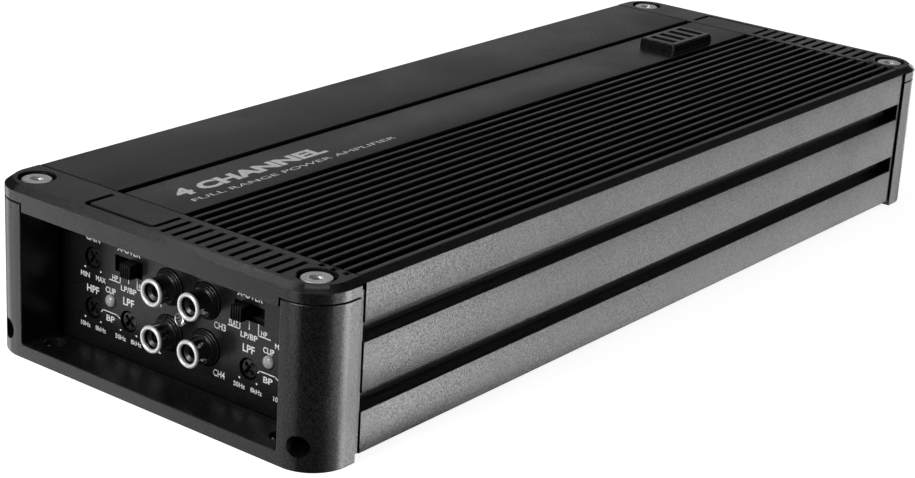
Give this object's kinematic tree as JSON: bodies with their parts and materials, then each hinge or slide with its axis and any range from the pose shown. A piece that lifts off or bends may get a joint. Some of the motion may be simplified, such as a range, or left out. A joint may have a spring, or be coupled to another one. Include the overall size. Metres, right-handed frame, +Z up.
{
  "type": "car amplifier",
  "caption": "Flat black car amplifier: finned metal chassis between round-cornered end caps, with phono inputs and trimmers at one end and power and speaker terminals at the other.",
  "frame": {"origin": "centre of the footprint, on the plane the end caps stand on", "axes": "+X along the length, from the control end to the terminal end; +Y to the plain side of the top; +Z up, away from the mounting surface"},
  "size_m": [0.3208, 0.122, 0.0531],
  "materials": {
    "anodised_body": "black anodised extrusion, fine satin grain",
    "cast_cap": "black fine-textured coating on die-cast aluminium",
    "panel_paint": "satin black paint on steel sheet",
    "bright_steel": "bright machined steel",
    "jack_chrome": "polished nickel or chrome plating",
    "trimmer_plastic": "satin black moulded plastic",
    "clear_lens": "frosted clear moulded lens",
    "badge_gloss": "gloss black moulded plastic",
    "board_green": "green solder mask on glass-fibre board",
    "brass": "plated brass",
    "copper_winding": "enamelled copper winding",
    "capacitor_sleeve": "dark heat-shrink sleeve",
    "zinc_steel": "zinc-plated steel",
    "black_plastic": "black moulded plastic"
  },
  "bodies": {
    "chassis": {"badge": "badge_gloss", "bottom_plate": "panel_paint", "bottom_plate_screw_1": "zinc_steel", "bottom_plate_screw_2": "zinc_steel", "bottom_plate_screw_3": "zinc_steel", "bottom_plate_screw_4": "zinc_steel", "bulk_capacitor_1": "capacitor_sleeve", "bulk_capacitor_2": "capacitor_sleeve", "clip_light_a": "clear_lens", "clip_light_b": "clear_lens", "control_cap_frame": "cast_cap", "control_cap_lid": "cast_cap", "control_lid_screw_left": "bright_steel", "control_lid_screw_right": "bright_steel", "control_panel": "panel_paint", "crossover_switch_a": "black_plastic", "crossover_switch_b": "black_plastic", "gain_a_trimmer": "black_plastic", "gain_b_trimmer": "black_plastic", "heatsink_body": "anodised_body", "high_pass_a_trimmer": "black_plastic", "high_pass_b_trimmer": "black_plastic", "low_pass_a_trimmer": "black_plastic", "low_pass_b_trimmer": "black_plastic", "main_board": "board_green", "output_choke": "copper_winding", "phono_block": "black_plastic", "phono_block_screw": "bright_steel", "phono_shell_1": "jack_chrome", "phono_shell_2": "jack_chrome", "phono_shell_3": "jack_chrome", "phono_shell_4": "jack_chrome", "power_terminal_block": "black_plastic", "power_transistor_left_1": "black_plastic", "power_transistor_left_2": "black_plastic", "power_transistor_right_1": "black_plastic", "power_transistor_right_2": "black_plastic", "speaker_socket": "black_plastic", "terminal_cap_frame": "cast_cap", "terminal_cap_lid": "cast_cap", "terminal_lid_screw_left": "bright_steel", "terminal_lid_screw_right": "bright_steel", "terminal_panel": "panel_paint", "toroid_transformer": "copper_winding", "transistor_clamp_left": "zinc_steel", "transistor_clamp_right": "zinc_steel"},
    "gain_a_adjuster_body": {"gain_a_adjuster": "trimmer_plastic"},
    "high_pass_a_adjuster_body": {"high_pass_a_adjuster": "trimmer_plastic"},
    "low_pass_a_adjuster_body": {"low_pass_a_adjuster": "trimmer_plastic"},
    "gain_b_adjuster_body": {"gain_b_adjuster": "trimmer_plastic"},
    "high_pass_b_adjuster_body": {"high_pass_b_adjuster": "trimmer_plastic"},
    "low_pass_b_adjuster_body": {"low_pass_b_adjuster": "trimmer_plastic"},
    "crossover_slider_a_body": {"crossover_slider_a": "black_plastic"},
    "crossover_slider_b_body": {"crossover_slider_b": "black_plastic"},
    "power_clamp_screw_1_body": {"power_clamp_screw_1": "bright_steel"},
    "power_clamp_cage_1_body": {"power_clamp_cage_1": "brass"},
    "power_clamp_screw_2_body": {"power_clamp_screw_2": "bright_steel"},
    "power_clamp_cage_2_body": {"power_clamp_cage_2": "brass"},
    "power_clamp_screw_3_body": {"power_clamp_screw_3": "bright_steel"},
    "power_clamp_cage_3_body": {"power_clamp_cage_3": "brass"}
  },
  "joints": [
    {"name": "gain_a_turn", "type": "hinge", "parent": "chassis", "child": "gain_a_adjuster_body", "pos_m": [-0.14197, 0.0358, 0.0289], "axis": [1, 0, 0], "range_deg": [-140, 140]},
    {"name": "high_pass_a_turn", "type": "hinge", "parent": "chassis", "child": "high_pass_a_adjuster_body", "pos_m": [-0.14197, 0.0358, 0.0141], "axis": [1, 0, 0], "range_deg": [-140, 140]},
    {"name": "low_pass_a_turn", "type": "hinge", "parent": "chassis", "child": "low_pass_a_adjuster_body", "pos_m": [-0.14197, 0.02175, 0.0141], "axis": [1, 0, 0], "range_deg": [-140, 140]},
    {"name": "gain_b_turn", "type": "hinge", "parent": "chassis", "child": "gain_b_adjuster_body", "pos_m": [-0.14197, -0.0372, 0.0289], "axis": [1, 0, 0], "range_deg": [-140, 140]},
    {"name": "high_pass_b_turn", "type": "hinge", "parent": "chassis", "child": "high_pass_b_adjuster_body", "pos_m": [-0.14197, -0.0372, 0.0141], "axis": [1, 0, 0], "range_deg": [-140, 140]},
    {"name": "low_pass_b_turn", "type": "hinge", "parent": "chassis", "child": "low_pass_b_adjuster_body", "pos_m": [-0.14197, -0.02315, 0.0141], "axis": [1, 0, 0], "range_deg": [-140, 140]},
    {"name": "crossover_slide_a", "type": "slide", "parent": "chassis", "child": "crossover_slider_a_body", "axis": [0, 1, 0], "range_m": [0, 0.0038]},
    {"name": "crossover_slide_b", "type": "slide", "parent": "chassis", "child": "crossover_slider_b_body", "axis": [0, -1, 0], "range_m": [0, 0.0038]},
    {"name": "power_screw_turn_1", "type": "hinge", "parent": "chassis", "child": "power_clamp_screw_1_body", "pos_m": [0.146, -0.037, 0.026], "axis": [0, 0, -1], "range_deg": [0, 1350]},
    {"name": "power_cage_lift_1", "type": "slide", "parent": "chassis", "child": "power_clamp_cage_1_body", "axis": [0, 0, 1], "range_m": [0, 0.003]},
    {"name": "power_screw_turn_2", "type": "hinge", "parent": "chassis", "child": "power_clamp_screw_2_body", "pos_m": [0.146, -0.025, 0.026], "axis": [0, 0, -1], "range_deg": [0, 1350]},
    {"name": "power_cage_lift_2", "type": "slide", "parent": "chassis", "child": "power_clamp_cage_2_body", "axis": [0, 0, 1], "range_m": [0, 0.003]},
    {"name": "power_screw_turn_3", "type": "hinge", "parent": "chassis", "child": "power_clamp_screw_3_body", "pos_m": [0.146, -0.013, 0.026], "axis": [0, 0, -1], "range_deg": [0, 1350]},
    {"name": "power_cage_lift_3", "type": "slide", "parent": "chassis", "child": "power_clamp_cage_3_body", "axis": [0, 0, 1], "range_m": [0, 0.003]}
  ],
  "couplings": [
    {"joint": "power_screw_turn_1", "follows": "power_cage_lift_1", "rad_per_m": 7854},
    {"joint": "power_screw_turn_2", "follows": "power_cage_lift_2", "rad_per_m": 7854},
    {"joint": "power_screw_turn_3", "follows": "power_cage_lift_3", "rad_per_m": 7854}
  ]
}
